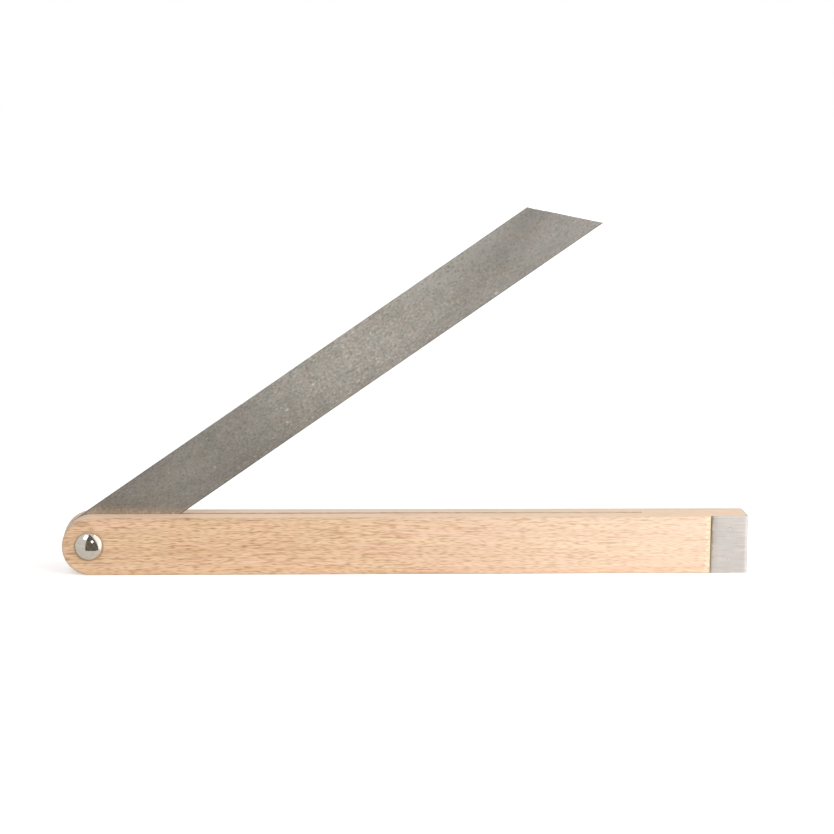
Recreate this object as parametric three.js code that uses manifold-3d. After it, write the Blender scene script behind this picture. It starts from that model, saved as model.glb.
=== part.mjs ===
// A carpenter's bevel: a steel blade that turns in the sawn slot of a beech stock,
// held on a cup-head bolt and clamped by a wing nut. Lengths are in millimetres.
// The pieces are drawn about the pivot, with X along the stock, Y across it and Z out of its front face.
// The finished bevel stands on the stock's lower edge, with its front facing -Y.
import * as THREE from "three";
import { mergeVertices, toCreasedNormals } from "three/addons/utils/BufferGeometryUtils.js";
import Module from "manifold-3d";

const { degToRad } = THREE.MathUtils;

// Blade
const bladeLength = 300;
const bladeWidth = 26.8;
const bladeThickness = 1.8;
const bladeEdgeBreak = 0.15;
const bladeEndSetback = 0.9;
const tipAngle = degToRad(46.3);
const openAngle = degToRad(35);

// Stock
const cheekThickness = 8.8;
const bladeInset = 0.55;
const heelLength = 25;
const arrisRadius = 0.5;
const pivotSetback = 1.2;

// Saw cut that makes the slot, run out past both corners of the blade's tip
const bladeSideClearance = 0.3;
const slotRunout = 3;
const sawRadius = 125;

// Steel cap on the stock's square end, and the two pins through it
const capFlange = 18;
const capThickness = 1;
const capInnerBend = 1;
const capShoulderGap = 0.5;
const pinDiameter = 2.5;
const pinSpacing = 14.7;

// Cup-head bolt, with a square neck let into the wood
const boltDiameter = 5;
const boltProjection = 2.4;
const boltEndChamfer = 0.6;
const headDiameter = 13.2;
const headHeight = 3.6;
const headRim = 0.5;
const neckSide = 5.2;
const neckLength = 3.5;

// Washer
const washerDiameter = 15;
const washerThickness = 1.2;
const washerEdgeBreak = 0.2;

// Wing nut
const nutBaseDiameter = 11;
const nutTopDiameter = 9;
const nutHeight = 6.4;
const nutChamfer = 0.5;
const wingSpan = 26;
const wingHeight = 13;
const wingThickness = 2.3;
const wingEdgeBreak = 0.6;
const earRadius = 3.3;
const wingRestAngle = degToRad(-12);

// Clearances
const turningClearance = 0.1;
const holeClearance = 0.2;
const fitGap = 0.05;
const seatGap = 0.02;
const cutOverrun = 2;

// Places on a wing's outline, as shares of the wing's height and of the nut's radius
const wingFootHeightShare = 0.1;
const wingBellyHeightShare = 0.22;
const wingRootRadiusShare = 0.7;
const wingSaddleHeightShare = 0.44;

// Facets
const arcSteps = 24;
const sawArcSteps = 6;
const bendSteps = 4;
const arrisSteps = 3;
const roundSteps = 48;
const domeSteps = 10;
const pinSteps = 24;
const wingCurveSteps = 8;
const softEdgeSteps = 2;
const creaseAngle = degToRad(30);

// Sizes that follow from those above
const slotWidth = bladeThickness + 2 * bladeSideClearance;
const stockWidth = bladeWidth + 2 * bladeInset;
const stockThickness = slotWidth + 2 * cheekThickness;
const edge = stockWidth / 2;
const face = stockThickness / 2;
const longCorner = bladeLength + bladeEndSetback - bladeWidth / 2;
const shortCorner = longCorner - bladeWidth / Math.tan(tipAngle);
const slotEndLower = longCorner + slotRunout;
const slotEndUpper = shortCorner + slotRunout;
const stockEnd = slotEndLower + heelLength;
const roundEnd = pivotSetback - edge;
const flangeEdge = stockEnd - capFlange;
const capOuterBend = capInnerBend + capThickness;
const pinPlace = stockEnd - capFlange / 2;
const boltLength = stockThickness + washerThickness + nutHeight + boltProjection;

const wasm = await Module();
wasm.setup();

// A closed geometry as a solid that can be cut and joined
function solidOf(geometry) {
  geometry.deleteAttribute("normal");
  geometry.deleteAttribute("uv");
  const merged = mergeVertices(geometry);
  const vertProperties = merged.attributes.position.array;
  const triVerts = new Uint32Array(merged.index.array);
  return new wasm.Manifold(new wasm.Mesh({ numProp: 3, vertProperties, triVerts }));
}

// A solid as a geometry again, smooth over its arcs and sharp at its edges
function geometryOf(solid) {
  const { vertProperties, triVerts } = solid.getMesh();
  const geometry = new THREE.BufferGeometry();
  geometry.setAttribute("position", new THREE.BufferAttribute(vertProperties, 3));
  geometry.setIndex(new THREE.BufferAttribute(triVerts, 1));
  return toCreasedNormals(geometry, creaseAngle);
}

// An outline given a thickness about the blade's plane, with its edges rounded off
function plate(outline, thickness, curveSegments, edgeBreak = 0, edgeSteps = 1) {
  const geometry = new THREE.ExtrudeGeometry(outline, {
    curveSegments,
    depth: thickness - 2 * edgeBreak,
    bevelEnabled: edgeBreak > 0,
    bevelThickness: edgeBreak,
    bevelSize: edgeBreak,
    bevelOffset: -edgeBreak,
    bevelSegments: edgeSteps,
  });
  return geometry.translate(0, 0, edgeBreak - thickness / 2);
}

// An outline drawn in plan, seen from the stock's upper edge, run across the stock's width
function acrossStock(planOutline, width) {
  return plate(planOutline, width, bendSteps).rotateX(-Math.PI / 2);
}

// A round bar through the stock's thickness
function bar(radius, length, steps = roundSteps) {
  return new THREE.CylinderGeometry(radius, radius, length, steps).rotateX(Math.PI / 2);
}

// A drill through the whole stock at a pin's place
function pinDrill(side) {
  const drill = bar(pinDiameter / 2 + fitGap, stockThickness + 2 * cutOverrun, pinSteps);
  return solidOf(drill.translate(pinPlace, side * pinSpacing / 2, 0));
}

// Long sides with one round end about the pivot's side and one square end
function stockOutline() {
  const outline = new THREE.Shape();
  outline.moveTo(stockEnd, -edge);
  outline.lineTo(stockEnd, edge);
  outline.absarc(pivotSetback, 0, edge, Math.PI / 2, 3 * Math.PI / 2);
  outline.closePath();
  return outline;
}

// The stock in plan: full thickness, then a thinner tongue with round corners for the cap
function stockPlan() {
  const outside = face + cutOverrun;
  const shoulder = flangeEdge - capShoulderGap;
  const tongueFace = face - capThickness - fitGap;
  const tongueEnd = stockEnd - capThickness - fitGap;
  const corner = capInnerBend - fitGap;
  const plan = new THREE.Shape();
  plan.moveTo(roundEnd - cutOverrun, -outside);
  plan.lineTo(shoulder, -outside);
  plan.lineTo(shoulder, -tongueFace);
  plan.absarc(tongueEnd - corner, corner - tongueFace, corner, -Math.PI / 2, 0);
  plan.absarc(tongueEnd - corner, tongueFace - corner, corner, 0, Math.PI / 2);
  plan.lineTo(shoulder, tongueFace);
  plan.lineTo(shoulder, outside);
  plan.lineTo(roundEnd - cutOverrun, outside);
  plan.closePath();
  return plan;
}

// The saw's path: in from the round end, and out along the rim of the saw from one edge to the other
function slotOutline() {
  const upper = new THREE.Vector2(slotEndUpper, edge);
  const lower = new THREE.Vector2(slotEndLower, -edge);
  const chord = lower.clone().sub(upper);
  const rise = Math.sqrt(sawRadius ** 2 - chord.lengthSq() / 4);
  const inward = new THREE.Vector2(chord.y, -chord.x).normalize();
  const centre = upper.clone().add(lower).divideScalar(2).addScaledVector(inward, rise);
  const reach = edge + cutOverrun;
  const startAngle = Math.asin((-reach - centre.y) / sawRadius);
  const endAngle = Math.asin((reach - centre.y) / sawRadius);
  const outline = new THREE.Shape();
  outline.moveTo(roundEnd - cutOverrun, reach);
  outline.lineTo(roundEnd - cutOverrun, -reach);
  outline.absarc(centre.x, centre.y, sawRadius, startAngle, endAngle);
  outline.closePath();
  return outline;
}

// The whole stock before it is slotted and capped, its arrises rounded over
function roundedStock() {
  return solidOf(plate(stockOutline(), stockThickness, arcSteps, arrisRadius, arrisSteps));
}

function stock() {
  const plan = solidOf(acrossStock(stockPlan(), stockWidth + 2 * cutOverrun));
  const slot = solidOf(plate(slotOutline(), slotWidth, sawArcSteps));
  const boltHole = solidOf(bar(boltDiameter / 2 + holeClearance, stockThickness + 2 * cutOverrun));
  const pocketSide = neckSide + 2 * fitGap;
  const pocket = new THREE.BoxGeometry(pocketSide, pocketSide, neckLength + fitGap + cutOverrun);
  pocket.translate(0, 0, face + (cutOverrun - neckLength - fitGap) / 2);
  return roundedStock()
    .intersect(plan)
    .subtract(slot)
    .subtract(boltHole)
    .subtract(solidOf(pocket))
    .subtract(pinDrill(1))
    .subtract(pinDrill(-1));
}

// A parallel strip with a round end just past the pivot and a slanting tip, its lower edge the longer
function blade() {
  const outline = new THREE.Shape();
  outline.moveTo(longCorner, -bladeWidth / 2);
  outline.lineTo(shortCorner, bladeWidth / 2);
  outline.absarc(bladeEndSetback, 0, bladeWidth / 2, Math.PI / 2, 3 * Math.PI / 2);
  outline.closePath();
  const hole = new THREE.Path();
  hole.absarc(0, 0, boltDiameter / 2 + turningClearance, 0, 2 * Math.PI, true);
  outline.holes.push(hole);
  return solidOf(plate(outline, bladeThickness, arcSteps, bladeEdgeBreak));
}

// A strip of sheet bent round the end of the stock, and worked flush with it all round
function endCap() {
  const bendCentre = stockEnd - capOuterBend;
  const bendOffset = face - capOuterBend;
  const plan = new THREE.Shape();
  plan.moveTo(flangeEdge, capThickness - face);
  plan.lineTo(flangeEdge, -face);
  plan.absarc(bendCentre, -bendOffset, capOuterBend, -Math.PI / 2, 0);
  plan.absarc(bendCentre, bendOffset, capOuterBend, 0, Math.PI / 2);
  plan.lineTo(flangeEdge, face);
  plan.lineTo(flangeEdge, face - capThickness);
  plan.absarc(bendCentre, bendOffset, capInnerBend, Math.PI / 2, 0, true);
  plan.absarc(bendCentre, -bendOffset, capInnerBend, 0, -Math.PI / 2, true);
  plan.closePath();
  return solidOf(acrossStock(plan, stockWidth))
    .intersect(roundedStock())
    .subtract(pinDrill(1))
    .subtract(pinDrill(-1));
}

function capPin(side) {
  const pin = bar(pinDiameter / 2, stockThickness, pinSteps);
  return solidOf(pin.translate(pinPlace, side * pinSpacing / 2, 0));
}

// Domed head, square neck and plain round shank, drawn from the shank's end up its axis
function pivotBolt() {
  const headRadius = headDiameter / 2;
  const boltRadius = boltDiameter / 2;
  const domeHeight = headHeight - headRim;
  const domeRadius = (headRadius ** 2 + domeHeight ** 2) / (2 * domeHeight);
  const rimAngle = Math.asin(headRadius / domeRadius);
  const profile = [
    new THREE.Vector2(0, -boltLength),
    new THREE.Vector2(boltRadius - boltEndChamfer, -boltLength),
    new THREE.Vector2(boltRadius, boltEndChamfer - boltLength),
    new THREE.Vector2(boltRadius, seatGap),
    new THREE.Vector2(headRadius, seatGap),
  ];
  for (let step = 0; step < domeSteps; step++) {
    const angle = rimAngle * (1 - step / domeSteps);
    const height = headHeight + domeRadius * (Math.cos(angle) - 1);
    profile.push(new THREE.Vector2(domeRadius * Math.sin(angle), height));
  }
  profile.push(new THREE.Vector2(0, headHeight));
  const turned = new THREE.LatheGeometry(profile, roundSteps).rotateX(Math.PI / 2);
  const neck = new THREE.BoxGeometry(neckSide, neckSide, neckLength + headRim);
  neck.translate(0, 0, (headRim - neckLength) / 2);
  return solidOf(turned).add(solidOf(neck)).translate([0, 0, face]);
}

// A flat ring whose near face lies on the washer's own origin and whose body goes back from it
function washer() {
  const ring = new THREE.Shape();
  ring.absarc(0, 0, washerDiameter / 2, 0, 2 * Math.PI);
  const bore = new THREE.Path();
  bore.absarc(0, 0, boltDiameter / 2 + turningClearance, 0, 2 * Math.PI, true);
  ring.holes.push(bore);
  const disc = plate(ring, washerThickness, arcSteps, washerEdgeBreak);
  return solidOf(disc.translate(0, 0, -washerThickness / 2));
}

// One cast wing: a belly that swells out from the foot, a round ear, and a saddle down to the nut's top
function wingOutline() {
  const root = nutTopDiameter / 2 * wingRootRadiusShare;
  const reach = wingSpan / 2;
  const earCentre = new THREE.Vector2(reach - earRadius, wingHeight - earRadius);
  const belly = new THREE.Vector2(reach, wingHeight * wingBellyHeightShare);
  const saddle = wingHeight * wingSaddleHeightShare;
  const outline = new THREE.Shape();
  outline.moveTo(root, wingHeight * wingFootHeightShare);
  outline.lineTo(nutBaseDiameter / 2, wingHeight * wingFootHeightShare);
  outline.quadraticCurveTo(belly.x, belly.y, reach, earCentre.y);
  outline.absarc(earCentre.x, earCentre.y, earRadius, 0, Math.PI);
  outline.quadraticCurveTo(earCentre.x - earRadius, saddle, root, saddle);
  outline.closePath();
  return outline;
}

// A tapered boss with two wings, drawn standing on its base and then turned to point back
function wingNut() {
  const baseRadius = nutBaseDiameter / 2;
  const topRadius = nutTopDiameter / 2;
  const boss = new THREE.LatheGeometry([
    new THREE.Vector2(0, 0),
    new THREE.Vector2(baseRadius - nutChamfer, 0),
    new THREE.Vector2(baseRadius, nutChamfer),
    new THREE.Vector2(topRadius, nutHeight - nutChamfer),
    new THREE.Vector2(topRadius - nutChamfer, nutHeight),
    new THREE.Vector2(0, nutHeight),
  ], roundSteps);
  const wing = plate(wingOutline(), wingThickness, wingCurveSteps, wingEdgeBreak, softEdgeSteps);
  const otherWing = wing.clone().rotateY(Math.PI);
  const bore = bar(boltDiameter / 2 + turningClearance, 2 * wingHeight);
  return solidOf(boss)
    .add(solidOf(wing))
    .add(solidOf(otherWing))
    .subtract(solidOf(bore.rotateX(Math.PI / 2)))
    .rotate([-90, 0, 0]);
}

const beech = new THREE.MeshStandardMaterial({ color: 0xdfb990, roughness: 0.6, metalness: 0 });
const bladeSteel = new THREE.MeshStandardMaterial({ color: 0x98928b, roughness: 0.42, metalness: 1 });
const capSteel = new THREE.MeshStandardMaterial({ color: 0xcfc8c2, roughness: 0.35, metalness: 1 });
const polishedSteel = new THREE.MeshStandardMaterial({ color: 0xdcdad6, roughness: 0.08, metalness: 1 });
const zincPlate = new THREE.MeshStandardMaterial({ color: 0xb9babb, roughness: 0.3, metalness: 1 });

// Adds one piece of the bevel under its own name
function addPiece(assembly, name, solid, material) {
  const mesh = new THREE.Mesh(geometryOf(solid), material);
  mesh.name = name;
  assembly.add(mesh);
  return mesh;
}

const assembly = new THREE.Group();
addPiece(assembly, "stock", stock(), beech);
addPiece(assembly, "end_cap", endCap(), capSteel);
addPiece(assembly, "cap_pin_upper", capPin(1), capSteel);
addPiece(assembly, "cap_pin_lower", capPin(-1), capSteel);
addPiece(assembly, "pivot_bolt", pivotBolt(), polishedSteel);
addPiece(assembly, "blade", blade(), bladeSteel).rotation.z = openAngle;
addPiece(assembly, "washer", washer(), zincPlate).position.z = -face - seatGap;
const nut = addPiece(assembly, "wing_nut", wingNut(), zincPlate);
nut.position.z = -face - washerThickness - 2 * seatGap;
nut.rotation.z = wingRestAngle;

// Stood on its lower edge, with the origin under the middle of its outline
assembly.rotation.x = Math.PI / 2;
const bevel = new THREE.Group();
bevel.add(assembly);
const bounds = new THREE.Box3().setFromObject(bevel, true);
const middle = bounds.getCenter(new THREE.Vector3());
assembly.position.set(-middle.x, -middle.y, -bounds.min.z);

export default bevel;
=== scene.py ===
import math

import bmesh
import bpy
from mathutils import Euler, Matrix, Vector


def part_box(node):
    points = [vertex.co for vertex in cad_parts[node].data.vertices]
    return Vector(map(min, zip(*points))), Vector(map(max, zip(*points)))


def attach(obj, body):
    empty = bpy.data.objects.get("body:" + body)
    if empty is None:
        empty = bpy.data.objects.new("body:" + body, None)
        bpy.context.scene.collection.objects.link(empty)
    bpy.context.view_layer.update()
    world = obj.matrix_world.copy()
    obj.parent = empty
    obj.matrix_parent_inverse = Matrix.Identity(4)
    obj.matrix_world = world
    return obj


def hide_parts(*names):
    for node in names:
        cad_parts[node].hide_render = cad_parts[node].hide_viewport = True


# A carpenter's bevel of beech and steel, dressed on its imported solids.
# Lengths are in metres, and places come from the solids themselves.
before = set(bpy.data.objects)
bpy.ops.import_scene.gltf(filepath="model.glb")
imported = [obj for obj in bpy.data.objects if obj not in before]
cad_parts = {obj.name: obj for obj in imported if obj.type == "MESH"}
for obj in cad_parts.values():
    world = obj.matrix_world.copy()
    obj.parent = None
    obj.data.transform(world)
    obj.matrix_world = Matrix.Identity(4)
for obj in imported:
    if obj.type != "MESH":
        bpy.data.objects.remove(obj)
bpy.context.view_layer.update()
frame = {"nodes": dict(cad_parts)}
nodes = frame["nodes"]

MM = 0.001
WHITE = (1, 1, 1, 1)
BLACK = (0, 0, 0, 1)

# Camera, fitted to the photograph's edges, with its turn in degrees and its lens in millimetres
camera_place = (-0.0731, -1.2356, 0.28446)
camera_turn = (80.3379, -0.588, -3.5067)
camera_lens = 113.09
sensor_width = 36

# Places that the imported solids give
stock_low, stock_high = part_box("stock")
cap_low, cap_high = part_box("end_cap")
head_low, bolt_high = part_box("pivot_bolt")
blade_low, blade_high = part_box("blade")
washer_low, washer_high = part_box("washer")
pin_boxes = [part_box("cap_pin_upper"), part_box("cap_pin_lower")]
head_radius = (bolt_high.x - head_low.x) / 2
washer_radius = (washer_high.x - washer_low.x) / 2
stock_middle = (stock_low.z + stock_high.z) / 2
stock_half_width = (stock_high.z - stock_low.z) / 2
pivot = Vector((head_low.x + head_radius, (blade_low.y + blade_high.y) / 2, head_low.z + head_radius))
head_top = Vector((pivot.x, head_low.y, pivot.z))
pin_middles = [(low + high) / 2 for low, high in pin_boxes]
pin_radius = (pin_boxes[0][1].x - pin_boxes[0][0].x) / 2

# Studio levels, plain enough that a colour shows about as it is written
sky_strength = 0.49
floor_reach = 4
floor_lift = 0.42
floor_mirrored_lift = 0.2
floor_fade_start = 0.3
floor_fade_end = 1.6

# Soft lights: place, width, height, watts, and whether metal mirrors them
softboxes = {
    "right_softbox": ((0.95, -0.42, 0.42), 1.5, 1.1, 13.7, False),
    "left_softbox": ((-0.6, -0.65, 1.18), 0.55, 0.75, 3.4, True),
}

# Cards that only the metal mirrors: name, displayed colour, strength, patchiness and corners
card_height = 0.001
card_patch_size = (4 * MM, 4 * MM, 4 * MM)
room_cards = (
    ("opening_in_front", (142, 140, 135), 1, 0.3, (
        (-0.256, -0.36, 0),
        (0.2, -0.36, 0),
        (-0.02, -0.36, 1.04),
    )),
    ("light_in_front", (255, 253, 249), 2.25, 0.3, (
        (-0.046, -0.355, 0.014),
        (0.034, -0.355, 0.014),
        (0.034, -0.355, 0.094),
        (-0.046, -0.355, 0.094),
    )),
    ("opening_below", (156, 153, 147), 1, 0.3, (
        (-0.17, -0.065, card_height),
        (-0.5, -0.85, card_height),
        (0.3, -0.85, card_height),
        (0.05, -0.065, card_height),
    )),
)

# More of them round the bolt's head, with corners in millimetres from the top of its dome
head_cards = (
    ("opening_at_head", (143, 138, 128), 1, 0.45, (
        (-8.28, -14.4, -9.11),
        (5.45, -14.89, -10.18),
        (19.25, -5.88, -8.46),
        (11.82, -8.84, 15.53),
        (0.59, -0.84, 23.8),
    )),
    ("bright_side_at_head", (255, 255, 255), 2.35, 0.3, (
        (4.85, -0.88, 10.81),
        (5.67, 2.77, 12.33),
        (10.02, 3.3, 9.31),
        (12.59, 2.75, 4.53),
        (12.92, 1.91, -0.68),
        (11.57, 1.24, -4.78),
        (10.84, -1.47, -2.14),
    )),
)
window_place = (4.7, -6.15, 7)
window_radius = 1.9 * MM
window_steps = 24
window_strength = 3
window_patchiness = 0

# Blade
blade_angle = math.radians(35)
blade_half_width = 13.4 * MM

# Cup-head bolt
head_rim_height = 0.5 * MM
head_rim_round = 0.2 * MM
head_seat_gap = 0.02 * MM
bolt_radius = 2.5 * MM
bolt_end_chamfer = 0.6 * MM
thread_pitch = 0.8 * MM
thread_depth = 0.49 * MM
thread_length = 13.6 * MM
thread_crest_share = 0.12
thread_steps_per_turn = 12
head_steps = 128
dome_steps = 40
bolt_chamfer_steps = 3

# Washer
washer_bore_radius = 2.6 * MM
washer_edge_round = 0.2 * MM
washer_steps = 96

# Rounded edges of the bolt's head and the washer
rounding_steps = 4

# Finishing of the copied solids
join_distance = 0.0005 * MM
flat_angle = math.radians(0.5)
smooth_angle = math.radians(40)
eased_edge_segments = 2
eased_edge_angle = math.radians(50)
casting_voxel = 0.2 * MM
casting_smoothing = 0.5
casting_smoothings = 9

# Wood, with the size that one feature of each pattern has along X, Y and Z
grain_wave_size = (55 * MM, 33 * MM, 22 * MM)
grain_wave_depth = 1.5 * MM
grain_wave_height = 5 * MM
grain_relief = 0.015 * MM
streak_size = (22 * MM, 1.3 * MM, 0.45 * MM)
dash_size = (3.8 * MM, 0.8 * MM, 0.4 * MM)
band_size = (120 * MM, 6 * MM, 3 * MM)
patch_size = (45 * MM, 12 * MM, 6 * MM)
tint_size = (15 * MM, 4 * MM, 2 * MM)
long_fleck_size = (34 * MM, 5 * MM, 1.5 * MM)
short_fleck_size = (9 * MM, 2 * MM, 1.1 * MM)
# Where the painted light towards the cap starts
painted_light_start = -78 * MM

# Growth layers in the wood: height and reach
pale_layer = (4.8 * MM, 1.6 * MM)
golden_layer = (2.7 * MM, 1.2 * MM)

# Greyed edges, painted shade along the edges, at the back and round the bolt's head, and torn fibres on the
# wood
grey_edge_start = 1.8 * MM
grey_edge_end = 0.2 * MM
darker_edge_reach = 0.8 * MM
back_shade_reach = 8 * MM
head_shade_reach = 0.9 * MM
shoulder_gap = 0.5 * MM
tear_size = (2.6 * MM, 3 * MM, 0.6 * MM)
tear_spread = 10 * MM
tear_reach = 2 * MM
tear_fade = 0.4 * MM
speck_size = (1.1 * MM, 1 * MM, 0.6 * MM)

# Cap, with its patterns' sizes along X, Y and Z
file_mark_size = (12 * MM, 0.9 * MM, 0.45 * MM)
cap_patch_size = (6 * MM, 6 * MM, 6 * MM)
tarnish_size = (2 * MM, 2 * MM, 2 * MM)
tarnish_spread = 2 * MM
tarnish_reach = 4.5 * MM
rust_reach = 0.9 * MM
rust_fade = 0.4 * MM
pin_joint = 0.16 * MM
steel_relief = 0.006 * MM
cap_edge_round = 0.08 * MM
# Reach of the painted highlight along the cap's upper arris and its bends
highlight_arris_reach = 0.9 * MM
highlight_bend_reach = 2.5 * MM

# Blade steel, with its patterns' sizes along the blade, through it and across it
cloud_size = (36 * MM, 36 * MM, 18 * MM)
mottle_size = (1.3 * MM, 1.3 * MM, 0.8 * MM)
stain_size = (21 * MM, 20 * MM, 9 * MM)
dull_size = (9 * MM, 9 * MM, 6 * MM)
scratch_size = (40 * MM, 1.1 * MM, 0.4 * MM)
fleck_size = (24 * MM, 9 * MM, 12 * MM)
# Painted shade along the blade's long edges: where it starts and is full along the blade, and its width
# across
dark_edge_start = 100 * MM
dark_edge_end = 40 * MM
shaded_edge_width = 0.55 * MM

# Where along the blade, from the pivot, its stretch of painted shade and its stretch of painted reflection
# start, are full, fade and end
dark_stretch_length = (30 * MM, 80 * MM, 190 * MM, 240 * MM)
bright_length = (180 * MM, 205 * MM, 235 * MM, 265 * MM)

# Dark marks in the wood's front, in millimetres: place along and up from the origin, reach along and up
mark_depth = 3
wood_marks = (
    (-154.8, 24.9, 5.5, 1.8),
    (-160, 10.5, 3.5, 0.6),
    (-87.1, 8.6, 7, 0.5),
    (-65.7, 10, 6.5, 0.7),
)

# Bright nicks in the blade's front, in millimetres: place along and across from the pivot, and both reaches
nick_depth = 0.5
nicks = (
    (69.8, -4.15, 0.6, 1.2),
    (113.8, -1.2, 1, 0.6),
    (110.5, -6, 0.8, 0.6),
    (130.7, 1.7, 0.8, 0.5),
    (226.9, -12, 1.2, 0.8),
)

# Polished steel and zinc plate
mark_size = (2 * MM, 2 * MM, 2 * MM)
polish_relief = 0.002 * MM
crystal_size = (1.1 * MM, 1.1 * MM, 1.1 * MM)
zinc_grime_size = (3.8 * MM, 3.8 * MM, 3.8 * MM)
zinc_relief = 0.02 * MM


# Studio

def srgb(red, green, blue):
    """A colour as a display shows it, from 0 to 255, in the linear values that shaders take."""
    linear = [((value / 255 + 0.055) / 1.055) ** 2.4 for value in (red, green, blue)]
    return (*linear, 1)


def add_camera():
    camera = bpy.data.cameras.new("camera")
    camera.sensor_width = sensor_width
    camera.lens = camera_lens
    holder = bpy.data.objects.new("camera", camera)
    holder.location = camera_place
    holder.rotation_euler = Euler([math.radians(angle) for angle in camera_turn])
    bpy.context.scene.collection.objects.link(holder)
    bpy.context.scene.camera = holder


def add_softbox(name, place, width, height, watts, mirrored):
    """A soft light that faces the middle of the bevel, and shows in the metal where mirrored is true."""
    lamp = bpy.data.lights.new(name, "AREA")
    lamp.shape = "RECTANGLE"
    lamp.size = width
    lamp.size_y = height
    lamp.energy = watts
    holder = bpy.data.objects.new(name, lamp)
    holder.location = place
    holder.rotation_euler = (-Vector(place)).to_track_quat("-Z", "Y").to_euler()
    holder.visible_glossy = mirrored
    bpy.context.scene.collection.objects.link(holder)


class Value:
    """A socket of a node tree, so that arithmetic written on it adds the Math nodes."""

    def __init__(self, nodes, socket):
        self.nodes = nodes
        self.socket = socket

    def other(self, output):
        return Value(self.nodes, self.socket.node.outputs[output])

    def maths(self, operation, first, second=0.0):
        return self.nodes.add("Math", {"operation": operation}, {0: first, 1: second})

    def __add__(self, value):
        return self.maths("ADD", self, value)

    def __radd__(self, value):
        return self.maths("ADD", value, self)

    def __sub__(self, value):
        return self.maths("SUBTRACT", self, value)

    def __rsub__(self, value):
        return self.maths("SUBTRACT", value, self)

    def __mul__(self, value):
        return self.maths("MULTIPLY", self, value)

    def __rmul__(self, value):
        return self.maths("MULTIPLY", value, self)

    def __abs__(self):
        return self.maths("ABSOLUTE", self)

    def clamped(self):
        return self.nodes.add("Clamp", {}, {"Value": self})

    def ramp(self, start, end):
        """From 0 at start to 1 at end, smoothly, also where end is the lower."""
        sockets = {"Value": self, "From Min": start, "From Max": end}
        return self.nodes.add("MapRange", {"interpolation_type": "SMOOTHSTEP"}, sockets)

    def between(self, start, full, fading, end):
        """1 from full to fading, and 0 before start and after end."""
        return self.ramp(start, full) * self.ramp(end, fading)


class Nodes:
    """A node tree. add() makes any node, sets it, fills its sockets and gives one of its outputs."""

    def __init__(self, tree):
        self.tree = tree
        self.tree.nodes.clear()

    def add(self, kind, settings={}, sockets={}, output=0):
        node = self.tree.nodes.new("ShaderNode" + kind)
        for name, setting in settings.items():
            setattr(node, name, setting)
        for name, value in sockets.items():
            if isinstance(value, Value):
                self.tree.links.new(value.socket, node.inputs[name])
            else:
                node.inputs[name].default_value = value
        return Value(self, node.outputs[output]) if node.outputs else None

    def vector_maths(self, operation, first, second=(0, 0, 0), output=0):
        return self.add("VectorMath", {"operation": operation}, {0: first, 1: second}, output)

    def seen_directly(self):
        """1 for what the camera, a mirror or a glass sees, and 0 for the light that falls on things."""
        rays = self.add("LightPath", output="Is Camera Ray")
        return (rays + rays.other("Is Glossy Ray") + rays.other("Is Transmission Ray")).clamped()


class Finish(Nodes):
    """A material, with patterns whose sizes are the lengths that one feature has along each axis."""

    def __init__(self, name):
        self.material = bpy.data.materials.new(name)
        self.material.use_nodes = True
        super().__init__(self.material.node_tree)

    def place(self):
        return self.add("TexCoord", output="Object")

    def facing(self):
        return self.add("SeparateXYZ", {}, {"Vector": self.add("TexCoord", output="Normal")})

    def scaled(self, place, size):
        return self.vector_maths("DIVIDE", place, size)

    def noise(self, place, size, detail=2, roughness=0.5):
        sockets = {"Scale": 1, "Detail": detail, "Roughness": roughness}
        sockets["Vector"] = self.scaled(place, size)
        return self.add("TexNoise", {}, sockets)

    def from_line(self, place, middle):
        """How far a place is from the line along Y through a middle."""
        apart = self.vector_maths("MULTIPLY", self.vector_maths("SUBTRACT", place, middle), (1, 0, 1))
        return self.vector_maths("LENGTH", apart, output="Value")

    def layer(self, height, middle, reach):
        """1 at one height, and 0 as far from it as reach."""
        return abs(height - middle).ramp(reach, 0)

    def spot(self, place, middle, size):
        """An oval spot at one place."""
        apart = self.scaled(self.vector_maths("SUBTRACT", place, middle), size)
        return self.vector_maths("LENGTH", apart, output="Value").ramp(1, 0.5)

    def flecks(self, place, size, reach, least):
        """Lens-shaped flecks in the cells of a stretched pattern, fewer of them where least is higher."""
        cells = self.add("TexVoronoi", {}, {"Vector": self.scaled(place, size), "Scale": 1})
        strength = self.add("SeparateColor", {}, {"Color": cells.other("Color")})
        return cells.ramp(reach, 0.3 * reach) * strength.ramp(least, 1)

    def blend(self, share, first, second):
        """The first colour where share is 0, the second where it is 1."""
        sockets = {0: share, 6: first, 7: second}
        return self.add("Mix", {"data_type": "RGBA"}, sockets, output=2)

    def bump(self, height, distance):
        return self.add("Bump", {}, {"Height": height, "Distance": distance, "Strength": 1})

    def surface(self, shader):
        self.add("OutputMaterial", {}, {"Surface": shader})
        return self.material


# Finishes

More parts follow.
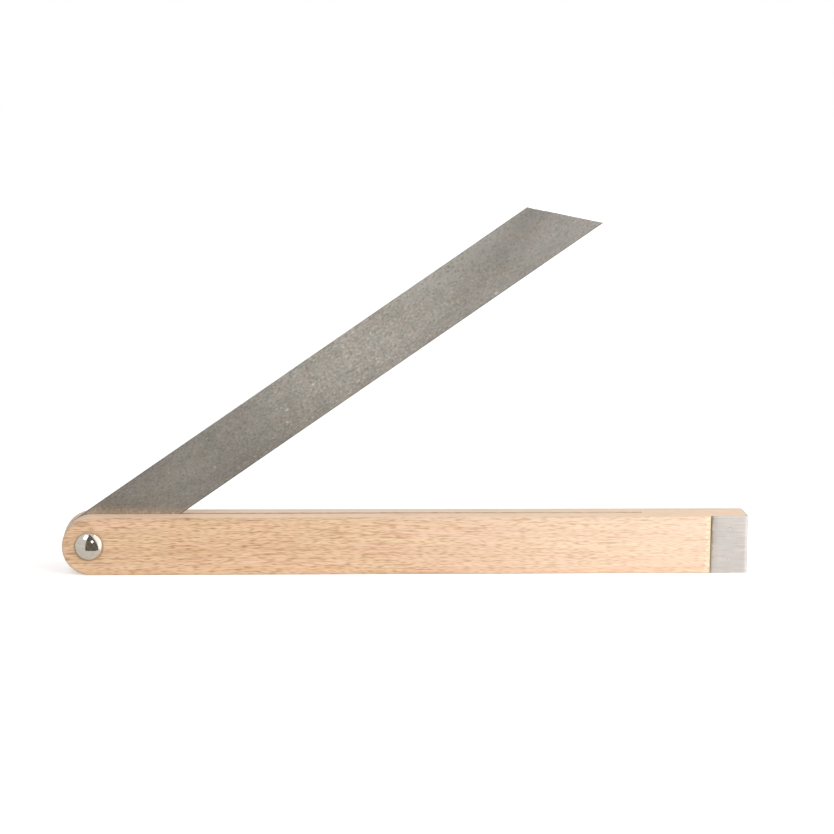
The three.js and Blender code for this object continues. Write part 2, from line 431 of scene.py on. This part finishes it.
class Beech(Finish):
    """The stock's wood, with what its colours share: its places, its faces and its grain."""

    def __init__(self):
        super().__init__("beech")
        self.here = self.place()
        self.along = self.add("SeparateXYZ", {}, {"Vector": self.here})
        self.up = self.along.other("Z")
        facing = self.facing()
        self.front_face = facing.other("Y").ramp(0, -1)
        self.broad_face = abs(facing.other("Y")).ramp(0.7, 0.95)
        self.edge_face = abs(facing.other("Z")).ramp(0.7, 0.95)
        self.end_grain = abs(facing).ramp(0.5, 1)
        self.towards_cap = self.along.ramp(painted_light_start, cap_low.x)
        # Painted light: the colours grow paler towards the cap, most on the broad faces, for the brighter
        # light at that end
        self.painted_light_share = self.towards_cap * (0.25 + 0.75 * self.broad_face)
        self.from_middle = self.distance_from_middle()
        self.grain = self.wavy_grain()
        self.bands = self.noise(self.grain, band_size, detail=2)
        self.fibres = self.brown_dashes()
        self.long_flecks = self.flecks(self.grain, long_fleck_size, 0.26, least=0.45)
        self.short_flecks = self.flecks(self.grain, short_fleck_size, 0.28, least=0.1)
        self.tear = self.noise(self.here, tear_size, detail=2, roughness=0.6)
        self.torn = self.torn_beside_cap()

    def distance_from_middle(self):
        """From the stock's middle line, or from the round end's centre where that line has ended."""
        past_end = self.along.maths("MINIMUM", self.along - (stock_low.x + stock_half_width))
        apart = self.add("CombineXYZ", {}, {"X": past_end, "Z": self.up - stock_middle})
        return self.vector_maths("LENGTH", apart, output="Value")

    def wavy_grain(self):
        """Places drawn a little up and down along the stock, so that the grain isn't straight."""
        wave = self.noise(self.here, grain_wave_size, detail=1) - 0.5
        drift = self.add("CombineXYZ", {}, {"Y": wave * grain_wave_depth, "Z": wave * grain_wave_height})
        return self.vector_maths("ADD", self.here, drift)

    def brown_dashes(self):
        """Beech's fine dashes along the grain, fainter on the upper and lower edges."""
        streaks = self.noise(self.grain, streak_size, detail=0)
        dashes = self.noise(self.grain, dash_size, detail=0)
        fibres = streaks.ramp(0.42, 0.8) * 0.36 + dashes.ramp(0.42, 0.78) * 0.66
        return fibres * (1 - 0.35 * self.edge_face)

    def torn_beside_cap(self):
        """1 where filing the cap flush has torn the fibres beside it, on both broad faces."""
        torn_from = cap_low.x - shoulder_gap - tear_reach
        ragged = self.along + (self.tear - 0.5) * tear_spread
        return ragged.ramp(torn_from, torn_from + tear_fade) * self.broad_face

    def painted_lighter_to_cap(self, colour, lit_colour):
        """A colour painted paler towards the cap: painted light, standing in for the brighter light at that
        end.
        """
        return self.blend(self.painted_light_share, srgb(*colour), srgb(*lit_colour))

    def ground(self):
        """Patches of warm, rosy and pink wood."""
        patches = self.noise(self.grain, patch_size, detail=1)
        tints = self.noise(self.grain, tint_size, detail=2)
        # These colours are painted paler towards the cap, as painted light
        warm = self.painted_lighter_to_cap((239, 208, 168), (250, 227, 199))
        rosy = self.painted_lighter_to_cap((241, 207, 172), (252, 226, 202))
        pink = self.painted_lighter_to_cap((250, 200, 174), (255, 219, 202))
        colour = self.blend(patches.ramp(0.35, 0.65), warm, rosy)
        return self.blend(tints.ramp(0.35, 0.65) * 0.22, colour, pink)

    def growth_layers(self, colour):
        """A pale and a golden growth layer, low in the broad faces."""
        depth = self.add("SeparateXYZ", {}, {"Vector": self.grain}).other("Z")
        pale_share = self.layer(depth, *pale_layer) * self.bands.ramp(0.3, 0.6) * 0.4
        golden_share = self.layer(depth, *golden_layer) * (0.4 + 0.6 * self.bands.ramp(0.6, 0.3)) * 0.6
        colour = self.blend(pale_share * self.broad_face, colour, srgb(250, 226, 206))
        return self.blend(golden_share * self.broad_face, colour, srgb(250, 204, 154))

    def greyed_edges(self, colour):
        """Greyer along the edges of the broad faces."""
        greying = self.from_middle.ramp(stock_half_width - grey_edge_start, stock_half_width - grey_edge_end)
        # Painted paler towards the cap, as painted light
        greyed = self.painted_lighter_to_cap((218, 196, 172), (246, 228, 210))
        return self.blend(greying * (1 - self.edge_face) * 0.5, colour, greyed)

    def brown_grain(self, colour):
        """Soft bands, dashes, flecks, and a few dark marks in the front."""
        # These too are painted paler towards the cap, as painted light
        dark = self.painted_lighter_to_cap((192, 141, 103), (226, 185, 150))
        fleck = self.painted_lighter_to_cap((158, 106, 76), (194, 146, 114))
        colour = self.blend(self.bands.ramp(0.35, 0.7) * 0.14, colour, dark)
        colour = self.blend(self.fibres, colour, dark)
        colour = self.blend(self.short_flecks * 0.36, colour, fleck)
        colour = self.blend(self.long_flecks * 0.7, colour, fleck)
        for along, up, length, width in wood_marks:
            middle = (along * MM, stock_low.y, up * MM)
            mark = self.spot(self.here, middle, Vector((length, mark_depth, width)) * MM)
            colour = self.blend(mark * 0.38, colour, fleck)
        return colour

    def narrow_faces(self, colour):
        """The upper and lower faces with a painted sheen, paler and whiter a little more away from the cap,
        painted shade towards their back, and the darker end grain.
        """
        # Painted sheen: the upper and lower faces paler and whiter, a little more away from the cap
        colour = self.blend(self.edge_face * (0.52 - 0.1 * self.towards_cap), colour, srgb(247, 221, 197))
        # Painted shade along the back of the upper and lower faces
        back_shade = self.along.other("Y").ramp(stock_high.y - back_shade_reach, stock_high.y)
        colour = self.blend(back_shade * self.edge_face * 0.5, colour, srgb(206, 204, 186))
        return self.blend(self.end_grain * 0.35, colour, srgb(162, 133, 104))

    def grime_and_shade(self, colour):
        """Painted shade: a dark ring round the bolt's head where it meets the wood, and a darker band along
        the broad faces' edges, the lower ones most.
        """
        # Painted contact shade round the bolt's head
        ring = self.from_line(self.here, pivot).ramp(head_radius + head_shade_reach, head_radius)
        colour = self.blend(ring * self.front_face * 0.4, colour, srgb(130, 98, 68))
        # Painted shade along the broad faces' edges, strongest along the lower ones
        darker_edges = self.from_middle.ramp(stock_half_width - darker_edge_reach, stock_half_width)
        darker_edges = darker_edges * (0.3 + 0.7 * self.up.ramp(stock_middle, stock_low.z)) * self.broad_face
        return self.blend(darker_edges * 0.4, colour, srgb(150, 124, 100))

    def torn_fibres(self, colour):
        """Bleached fibres and brown specks beside the cap."""
        specks = self.flecks(self.here, speck_size, 0.4, least=0.1)
        colour = self.blend(self.torn * self.tear.ramp(0.36, 0.58) * 0.8, colour, srgb(255, 241, 206))
        return self.blend(self.torn * specks * 0.5, colour, srgb(176, 136, 92))


def beech():
    """Planed beech: fine brown dashes along the grain, soft bands, and torn fibres beside the cap."""
    wood = Beech()
    colour = wood.ground()
    colour = wood.growth_layers(colour)
    colour = wood.greyed_edges(colour)
    colour = wood.brown_grain(colour)
    colour = wood.narrow_faces(colour)
    colour = wood.grime_and_shade(colour)
    colour = wood.torn_fibres(colour)
    height = 0.4 * wood.torn * wood.tear - wood.fibres * 0.5 - wood.long_flecks - wood.short_flecks * 0.5
    return wood.surface(wood.add("BsdfPrincipled", {}, {
        "Base Color": colour,
        "Roughness": 0.5 + wood.bands * 0.1 + wood.long_flecks * 0.08,
        "Specular IOR Level": 0.25,
        "Normal": wood.bump(height, grain_relief),
    }))


def shaded_blade_edges(steel, along, across):
    """Painted shade along both long edges, more so near the stock and on the lower one."""
    narrow_face = abs(steel.facing().other("Y")).ramp(0.7, 0.3)
    edge = abs(across).ramp(blade_half_width - shaded_edge_width, blade_half_width)
    edge = edge * (0.45 + 0.4 * along.ramp(dark_edge_start, dark_edge_end)) * (1 - 0.4 * narrow_face)
    return (edge + across.ramp(shaded_edge_width - blade_half_width, -blade_half_width) * 0.25).clamped()


def blade_steel():
    """Satin spring steel: cloudy and mottled, with faint stains, fine scratches and a few bright nicks."""
    steel = Finish("blade_steel")
    # Laid along X from the pivot, so that the pattern follows the blade
    from_pivot = steel.vector_maths("SUBTRACT", steel.place(), pivot)
    place = steel.add("Mapping", {}, {"Vector": from_pivot, "Rotation": (0, blade_angle, 0)})
    along = steel.add("SeparateXYZ", {}, {"Vector": place})
    across = along.other("Z")

    clouds = steel.noise(place, cloud_size, detail=4, roughness=0.6)
    mottle = steel.noise(place, mottle_size, detail=2, roughness=0.6)
    stains = steel.noise(place, stain_size, detail=3)
    dull = steel.noise(place, dull_size, detail=2)
    scratches = steel.noise(place, scratch_size, detail=2)
    flecks = steel.flecks(place, fleck_size, 0.05, least=0.1)
    # Painted shade along the blade's lower half
    painted_dark_stretch = along.between(*dark_stretch_length) * across.ramp(0, -blade_half_width)
    # Painted reflection along the blade's upper half towards its tip
    bright = along.between(*bright_length) * across.ramp(0, blade_half_width)
    shade_near_stock = along.ramp(dark_stretch_length[1], dark_stretch_length[0])

    colour = steel.blend(clouds.ramp(0.3, 0.7), srgb(204, 198, 191), srgb(217, 211, 204))
    colour = steel.blend(stains.ramp(0.52, 0.7) * 0.3, colour, srgb(196, 182, 162))
    colour = steel.blend(dull.ramp(0.46, 0.66) * 0.45, colour, srgb(184, 187, 182))
    # Painted light: the stretch of painted shade, the stretch of painted reflection, and painted shade near
    # the stock
    colour = steel.blend(painted_dark_stretch * 0.35, colour, srgb(166, 160, 152))
    colour = steel.blend(bright * 0.4, colour, srgb(250, 248, 242))
    colour = steel.blend(shade_near_stock * 0.12, colour, srgb(166, 158, 148))
    colour = steel.blend(mottle.ramp(0.5, 0.74) * 0.56, colour, srgb(140, 134, 126))
    colour = steel.blend(mottle.ramp(0.46, 0.26) * 0.62, colour, srgb(250, 246, 240))
    # Painted shade along the blade's long edges
    colour = steel.blend(shaded_blade_edges(steel, along, across), colour, srgb(96, 88, 78))
    colour = steel.blend(flecks, colour, srgb(232, 230, 226))
    for nick_along, nick_across, length, width in nicks:
        middle = (nick_along * MM, blade_low.y - pivot.y, nick_across * MM)
        nick = steel.spot(place, middle, Vector((length, nick_depth, width)) * MM)
        colour = steel.blend(nick * 0.8, colour, WHITE)

    return steel.surface(steel.add("BsdfPrincipled", {}, {
        "Base Color": colour,
        "Metallic": 1,
        "Roughness": 0.37 + (clouds - 0.5) * 0.1 + (mottle - 0.5) * 0.2,
        "Normal": steel.bump(scratches + mottle * 0.6, steel_relief),
    }))


def highlit_cap_edges(steel, along):
    """Painted highlight along the cap's upper arris and its bends, on the front and the back."""
    arris = along.other("Z").ramp(cap_high.z - highlight_arris_reach, cap_high.z)
    bend = along.ramp(cap_high.x - highlight_bend_reach, cap_high.x)
    return (arris + bend).clamped() * abs(steel.facing().other("Y")).ramp(0.3, 0.8)


def cap_steel(name):
    """Mild steel filed flush along the stock, with fine streaks and a little tarnish by the wood."""
    steel = Finish(name)
    place = steel.place()
    along = steel.add("SeparateXYZ", {}, {"Vector": place})
    upper = along.other("Z").ramp(cap_low.z, cap_high.z)
    streaks = steel.noise(place, file_mark_size, detail=3, roughness=0.6)
    patches = steel.noise(place, cap_patch_size, detail=2)
    ragged = along + (steel.noise(place, tarnish_size) - 0.5) * tarnish_spread
    tarnish = ragged.ramp(cap_low.x + tarnish_reach, cap_low.x) * (0.4 + 0.6 * upper)
    rust = ragged.ramp(cap_low.x + rust_reach, cap_low.x + rust_reach - rust_fade) * (0.5 + 0.5 * upper)

    colour = steel.blend(patches.ramp(0.35, 0.65), srgb(214, 208, 203), srgb(223, 214, 207))
    colour = steel.blend(streaks.ramp(0.42, 0.72) * 0.55, colour, srgb(186, 179, 172))
    # Painted highlight along the cap's arris and bends
    colour = steel.blend(highlit_cap_edges(steel, along) * 0.5, colour, srgb(252, 248, 243))
    colour = steel.blend(tarnish * 0.5, colour, srgb(176, 165, 146))
    colour = steel.blend(rust * 0.65, colour, srgb(128, 112, 84))
    for middle in pin_middles:
        joint = abs(steel.from_line(place, middle) - pin_radius).ramp(pin_joint, 0)
        colour = steel.blend(joint * patches.ramp(0.45, 0.6) * 0.45, colour, srgb(140, 132, 122))
    return steel.surface(steel.add("BsdfPrincipled", {}, {
        "Base Color": colour,
        "Metallic": 1,
        "Roughness": 0.4 + (streaks - 0.5) * 0.2,
        "Normal": steel.bump(streaks, steel_relief),
    }))


def polished_steel():
    """Bright turned steel, nearly a mirror, with faint handling marks."""
    steel = Finish("polished_steel")
    marks = steel.noise(steel.place(), mark_size, detail=3)
    return steel.surface(steel.add("BsdfPrincipled", {}, {
        "Base Color": steel.blend(marks.ramp(0.4, 0.8), srgb(195, 189, 179), srgb(185, 179, 168)),
        "Metallic": 1,
        "Roughness": 0.05 + marks * 0.05,
        "Normal": steel.bump(marks, polish_relief),
    }))


def zinc_plate():
    """Bright zinc plate with a faint crystalline mottle."""
    zinc = Finish("zinc_plate")
    place = zinc.place()
    crystals = zinc.add("TexVoronoi", {}, {"Vector": zinc.scaled(place, crystal_size), "Scale": 1})
    shade = zinc.add("SeparateColor", {}, {"Color": crystals.other("Color")})
    grime_and_shade = zinc.noise(place, zinc_grime_size, detail=3)
    colour = zinc.blend(shade, srgb(186, 189, 192), srgb(204, 206, 208))
    colour = zinc.blend(grime_and_shade.ramp(0.5, 0.8) * 0.5, colour, srgb(160, 160, 156))
    return zinc.surface(zinc.add("BsdfPrincipled", {}, {
        "Base Color": colour,
        "Metallic": 1,
        "Roughness": 0.28 + grime_and_shade * 0.15,
        "Normal": zinc.bump(grime_and_shade, zinc_relief),
    }))


def white_card():
    """The floor: lit as any card, and lifted to plain white where the bevel's shadow isn't."""
    card = Finish("white_card")
    distance = card.vector_maths("LENGTH", card.place(), output="Value")
    far = distance.ramp(floor_fade_start, floor_fade_end)
    seen = card.add("LightPath", output="Is Camera Ray")
    near_lift = seen * floor_lift + seen.other("Is Glossy Ray") * floor_mirrored_lift
    lift = near_lift * (1 - far) + card.seen_directly() * far
    lit = card.add("BsdfDiffuse", {}, {"Color": srgb(246, 246, 246)})
    glow = card.add("Emission", {}, {"Color": card.blend(lift, BLACK, WHITE), "Strength": 1})
    return card.surface(card.add("AddShader", {}, {0: lit, 1: glow}))


def mirrored_card(name, colour, strength, patchiness):
    """A glowing card, patchy as the things of a room are."""
    card = Finish(name)
    patches = card.noise(card.place(), card_patch_size).ramp(0.3, 0.7)
    bright = srgb(*colour)
    dim = (*(level * (1 - patchiness) for level in bright[:3]), 1)
    glow = {"Color": card.blend(patches, dim, bright), "Strength": strength}
    return card.surface(card.add("Emission", {}, glow))


# Pieces

class Profile:
    """Half a section of a turned piece, as a chain of points at (radius, place along its axis)."""

    def __init__(self, radius, along):
        self.mesh = bmesh.new()
        self.end = self.mesh.verts.new((radius, along, 0))

    def line_to(self, radius, along, steps=1):
        start = self.end.co.copy()
        goal = Vector((radius, along, 0))
        for step in range(1, steps + 1):
            self.end = bmesh.ops.extrude_vert_indiv(self.mesh, verts=[self.end])["verts"][0]
            self.end.co = start.lerp(goal, step / steps)

    def arc(self, centre_radius, centre_along, angle, steps):
        """Turns the chain's end round a centre, anticlockwise with the radius to the right."""
        centre = (centre_radius, centre_along, 0)
        turned = bmesh.ops.spin(
            self.mesh, geom=[self.end], cent=centre, axis=(0, 0, 1), angle=angle, steps=steps)
        self.end = turned["geom_last"][0]

    def turned(self, steps):
        """The whole piece. A full spin leaves its faces in no fixed order, so they are put in order."""
        section = self.mesh.verts[:] + self.mesh.edges[:]
        bmesh.ops.spin(
            self.mesh, geom=section, cent=(0, 0, 0), axis=(0, 1, 0),
            angle=2 * math.pi, steps=steps, use_merge=True)
        bmesh.ops.remove_doubles(self.mesh, verts=self.mesh.verts, dist=join_distance)
        self.mesh.verts.index_update()
        ordered = sorted(self.mesh.faces, key=lambda face: sorted(point.index for point in face.verts))
        rank = {face: number for number, face in enumerate(ordered)}
        self.mesh.faces.sort(key=lambda face: rank[face])
        return self.mesh


def copied_solid(node):
    """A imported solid's own shape, its loose triangles joined into whole faces."""
    mesh = bmesh.new()
    mesh.from_mesh(nodes[node].data)
    bmesh.ops.remove_doubles(mesh, verts=mesh.verts, dist=join_distance)
    bmesh.ops.dissolve_limit(mesh, angle_limit=flat_angle, verts=mesh.verts, edges=mesh.edges)
    return mesh


def add_piece(name, mesh, finish, node, body):
    """A finished mesh as an object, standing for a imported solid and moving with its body."""
    bmesh.ops.recalc_face_normals(mesh, faces=mesh.faces)
    data = bpy.data.meshes.new(name)
    mesh.to_mesh(data)
    mesh.free()
    data.shade_smooth()
    data.set_sharp_from_angle(angle=smooth_angle)
    data.materials.append(finish)
    piece = bpy.data.objects.new(name, data)
    bpy.context.scene.collection.objects.link(piece)
    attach(piece, body)
    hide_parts(node)
    return piece


def ease_edges(piece, width):
    """Takes the sharpness off a piece's edges, and keeps its flat faces flat in their shading."""
    bevel = piece.modifiers.new("eased_edges", "BEVEL")
    bevel.width = width
    bevel.segments = eased_edge_segments
    bevel.limit_method = "ANGLE"
    bevel.angle_limit = eased_edge_angle
    level_shading(piece)


def level_shading(piece):
    """Keeps a piece's flat faces flat in their shading."""
    normals = piece.modifiers.new("level_shading", "WEIGHTED_NORMAL")
    normals.keep_sharp = True


def cut_thread(mesh, start, end, radius):
    """Draws the shank's skin in along a helix, which deepens over its first turn."""
    for point in mesh.verts:
        reach = math.hypot(point.co.x, point.co.z)
        if not start < point.co.y < end or abs(reach - radius) > join_distance:
            continue
        turn = math.atan2(point.co.z, point.co.x) / (2 * math.pi)
        height = abs((point.co.y / thread_pitch - turn) % 1 * 2 - 1)
        flank = (1 - height) / (1 - thread_crest_share) - thread_crest_share
        depth = thread_depth * max(0, min(1, flank))
        runout = min(1, (point.co.y - start) / thread_pitch)
        share = (radius - depth * runout) / reach
        point.co.x *= share
        point.co.z *= share


def add_pivot_bolt(finish):
    """Domed head, then a plain shank that ends in a thread and a chamfer."""
    head_face = head_low.y
    seat = stock_low.y - head_seat_gap
    rim_top = seat - head_rim_height
    dome_height = rim_top - head_face
    dome_radius = (head_radius ** 2 + dome_height ** 2) / (2 * dome_height)
    dome_angle = math.asin(head_radius / dome_radius)
    shank_end = bolt_high.y
    thread_start = shank_end - thread_length
    bolt = Profile(0, head_face)
    bolt.arc(0, head_face + dome_radius, dome_angle, dome_steps)
    bolt.line_to(head_radius, seat - head_rim_round)
    bolt.arc(head_radius - head_rim_round, seat - head_rim_round, math.pi / 2, rounding_steps)
    bolt.line_to(bolt_radius, seat)
    bolt.line_to(bolt_radius, thread_start)
    turns = thread_length / thread_pitch
    bolt.line_to(bolt_radius, shank_end - bolt_end_chamfer, round(turns * thread_steps_per_turn))
    bolt.line_to(bolt_radius - bolt_end_chamfer, shank_end, bolt_chamfer_steps)
    bolt.line_to(0, shank_end)
    mesh = bolt.turned(head_steps)
    cut_thread(mesh, thread_start, shank_end, bolt_radius)
    bmesh.ops.translate(mesh, verts=mesh.verts, vec=(pivot.x, 0, pivot.z))
    add_piece("cup_head_bolt", mesh, finish, "pivot_bolt", "stock")


def add_washer(finish):
    """A flat ring, with the outer and inner edges of its back face eased."""
    outside = washer_radius
    near = washer_low.y
    far = washer_high.y
    ring = Profile(washer_bore_radius, near)
    ring.line_to(outside, near)
    ring.line_to(outside, far - washer_edge_round)
    ring.arc(outside - washer_edge_round, far - washer_edge_round, math.pi / 2, rounding_steps)
    ring.line_to(washer_bore_radius + washer_edge_round, far)
    ring.line_to(washer_bore_radius, far - washer_edge_round)
    ring.line_to(washer_bore_radius, near)
    mesh = ring.turned(washer_steps)
    bmesh.ops.translate(mesh, verts=mesh.verts, vec=(pivot.x, 0, pivot.z))
    piece = add_piece("plated_washer", mesh, finish, "washer", "washer")
    level_shading(piece)


def add_wing_nut(finish):
    """The nut's solid with the soft fillets and edges of a casting."""
    casting = copied_solid("wing_nut")
    piece = add_piece("cast_wing_nut", casting, finish, "wing_nut", "wing_nut")
    remesh = piece.modifiers.new("cast_skin", "REMESH")
    remesh.mode = "VOXEL"
    remesh.voxel_size = casting_voxel
    remesh.use_smooth_shade = True
    fillets = piece.modifiers.new("fillets", "SMOOTH")
    fillets.factor = casting_smoothing
    fillets.iterations = casting_smoothings


def add_card(name, mesh, material):
    """A flat thing of the studio, which isn't part of the bevel."""
    data = bpy.data.meshes.new(name)
    mesh.to_mesh(data)
    mesh.free()
    data.materials.append(material)
    card = bpy.data.objects.new(name, data)
    bpy.context.scene.collection.objects.link(card)
    return card


def add_floor():
    floor = bmesh.new()
    bmesh.ops.create_grid(floor, x_segments=1, y_segments=1, size=floor_reach)
    add_card("floor", floor, white_card())


def add_mirrored_card(name, colour, strength, patchiness, mesh):
    """A card that only shows in the metal, and takes no light from anything."""
    card = add_card(name, mesh, mirrored_card(name, colour, strength, patchiness))
    card.visible_camera = False
    card.visible_diffuse = False
    card.visible_transmission = False
    card.visible_shadow = False


def outlined(corners):
    card = bmesh.new()
    card.faces.new([card.verts.new(corner) for corner in corners])
    return card


def window():
    """The small bright window that the bolt's head mirrors within the dark opening."""
    card = bmesh.new()
    place = head_top + Vector(window_place) * MM
    bmesh.ops.create_circle(card, cap_ends=True, radius=window_radius, segments=window_steps)
    facing = (head_top - place).to_track_quat("Z", "Y").to_matrix()
    bmesh.ops.rotate(card, verts=card.verts, cent=(0, 0, 0), matrix=facing)
    bmesh.ops.translate(card, verts=card.verts, vec=place)
    return card


def add_surroundings():
    """White to the camera and in reflections, and plain soft light for everything else."""
    world = bpy.data.worlds.new("studio")
    bpy.context.scene.world = world
    world.use_nodes = True
    sky = Nodes(world.node_tree)
    soft = sky.add("Background", {}, {"Color": WHITE, "Strength": sky_strength})
    bright = sky.add("Background", {}, {"Color": WHITE, "Strength": 1})
    mixed = sky.add("MixShader", {}, {0: sky.seen_directly(), 1: soft, 2: bright})
    sky.add("OutputWorld", {}, {"Surface": mixed})


add_camera()
bpy.context.scene.view_settings.view_transform = "Standard"
add_surroundings()
add_floor()
for name, softbox in softboxes.items():
    add_softbox(name, *softbox)
for *card, corners in room_cards:
    add_mirrored_card(*card, outlined(corners))
for *card, corners in head_cards:
    add_mirrored_card(*card, outlined(head_top + Vector(corner) * MM for corner in corners))
add_mirrored_card("window", (255, 255, 255), window_strength, window_patchiness, window())

wood = beech()
cap = cap_steel("cap_steel")
pins = cap_steel("pin_steel")
polished = polished_steel()
zinc = zinc_plate()

stock = add_piece("beech_stock", copied_solid("stock"), wood, "stock", "stock")
level_shading(stock)
sheet = add_piece("folded_cap", copied_solid("end_cap"), cap, "end_cap", "stock")
ease_edges(sheet, cap_edge_round)
strip = add_piece("steel_blade", copied_solid("blade"), blade_steel(), "blade", "blade")
level_shading(strip)
for side in ("upper", "lower"):
    nodes[f"cap_pin_{side}"].material_slots[0].material = pins
add_pivot_bolt(polished)
add_washer(zinc)
add_wing_nut(zinc)
